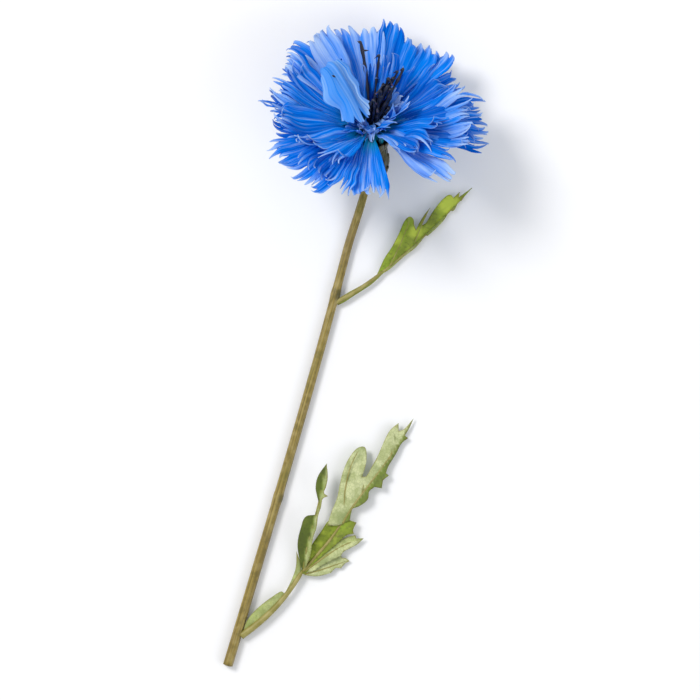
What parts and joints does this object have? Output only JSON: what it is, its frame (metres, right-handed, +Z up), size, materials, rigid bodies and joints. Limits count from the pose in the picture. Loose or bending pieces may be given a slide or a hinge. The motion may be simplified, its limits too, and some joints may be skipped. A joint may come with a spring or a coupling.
{
  "type": "cornflower",
  "caption": "Picked double cornflower lying on its side: toothed blue florets round dark anthers, scaly green cup, slim stem and lobed leaves.",
  "frame": {"origin": "middle of the bounding box in plan, on the ground under the flower", "axes": "+Y along the stem towards the bloom, +Z up off the ground, +X to the right seen from above with the bloom away from the viewer"},
  "size_m": [0.061, 0.151, 0.0416],
  "materials": {
    "petals": "thin soft blue petal, matt, paler towards the tips",
    "anthers": "near-black violet, matt",
    "involucre": "olive green-brown overlapping scales, satin",
    "stem": "olive, finely grooved, satin",
    "leaves": "soft green upper side, pale underside, matt"
  },
  "bodies": {
    "root": {"anther_1": "anthers", "anther_2": "anthers", "anther_3": "anthers", "anther_4": "anthers", "anther_5": "anthers", "anther_6": "anthers", "anther_7": "anthers", "floret_disc_1": "petals", "floret_disc_2": "petals", "floret_disc_3": "petals", "floret_disc_4": "petals", "floret_disc_5": "petals", "floret_disc_6": "petals", "floret_inner_1": "petals", "floret_inner_2": "petals", "floret_inner_3": "petals", "floret_inner_4": "petals", "floret_inner_5": "petals", "floret_inner_6": "petals", "floret_inner_7": "petals", "floret_outer_1": "petals", "floret_outer_2": "petals", "floret_outer_3": "petals", "floret_outer_4": "petals", "floret_outer_5": "petals", "floret_outer_6": "petals", "floret_outer_7": "petals", "floret_outer_8": "petals", "floret_outer_9": "petals", "floret_second_1": "petals", "floret_second_2": "petals", "floret_second_3": "petals", "floret_second_4": "petals", "floret_second_5": "petals", "floret_second_6": "petals", "floret_second_7": "petals", "floret_third_1": "petals", "floret_third_2": "petals", "floret_third_3": "petals", "floret_third_4": "petals", "floret_third_5": "petals", "floret_third_6": "petals", "floret_third_7": "petals", "floret_third_8": "petals", "involucre": "involucre", "leaf_lower": "leaves", "leaf_upper": "leaves", "stem": "stem"}
  },
  "joints": []
}
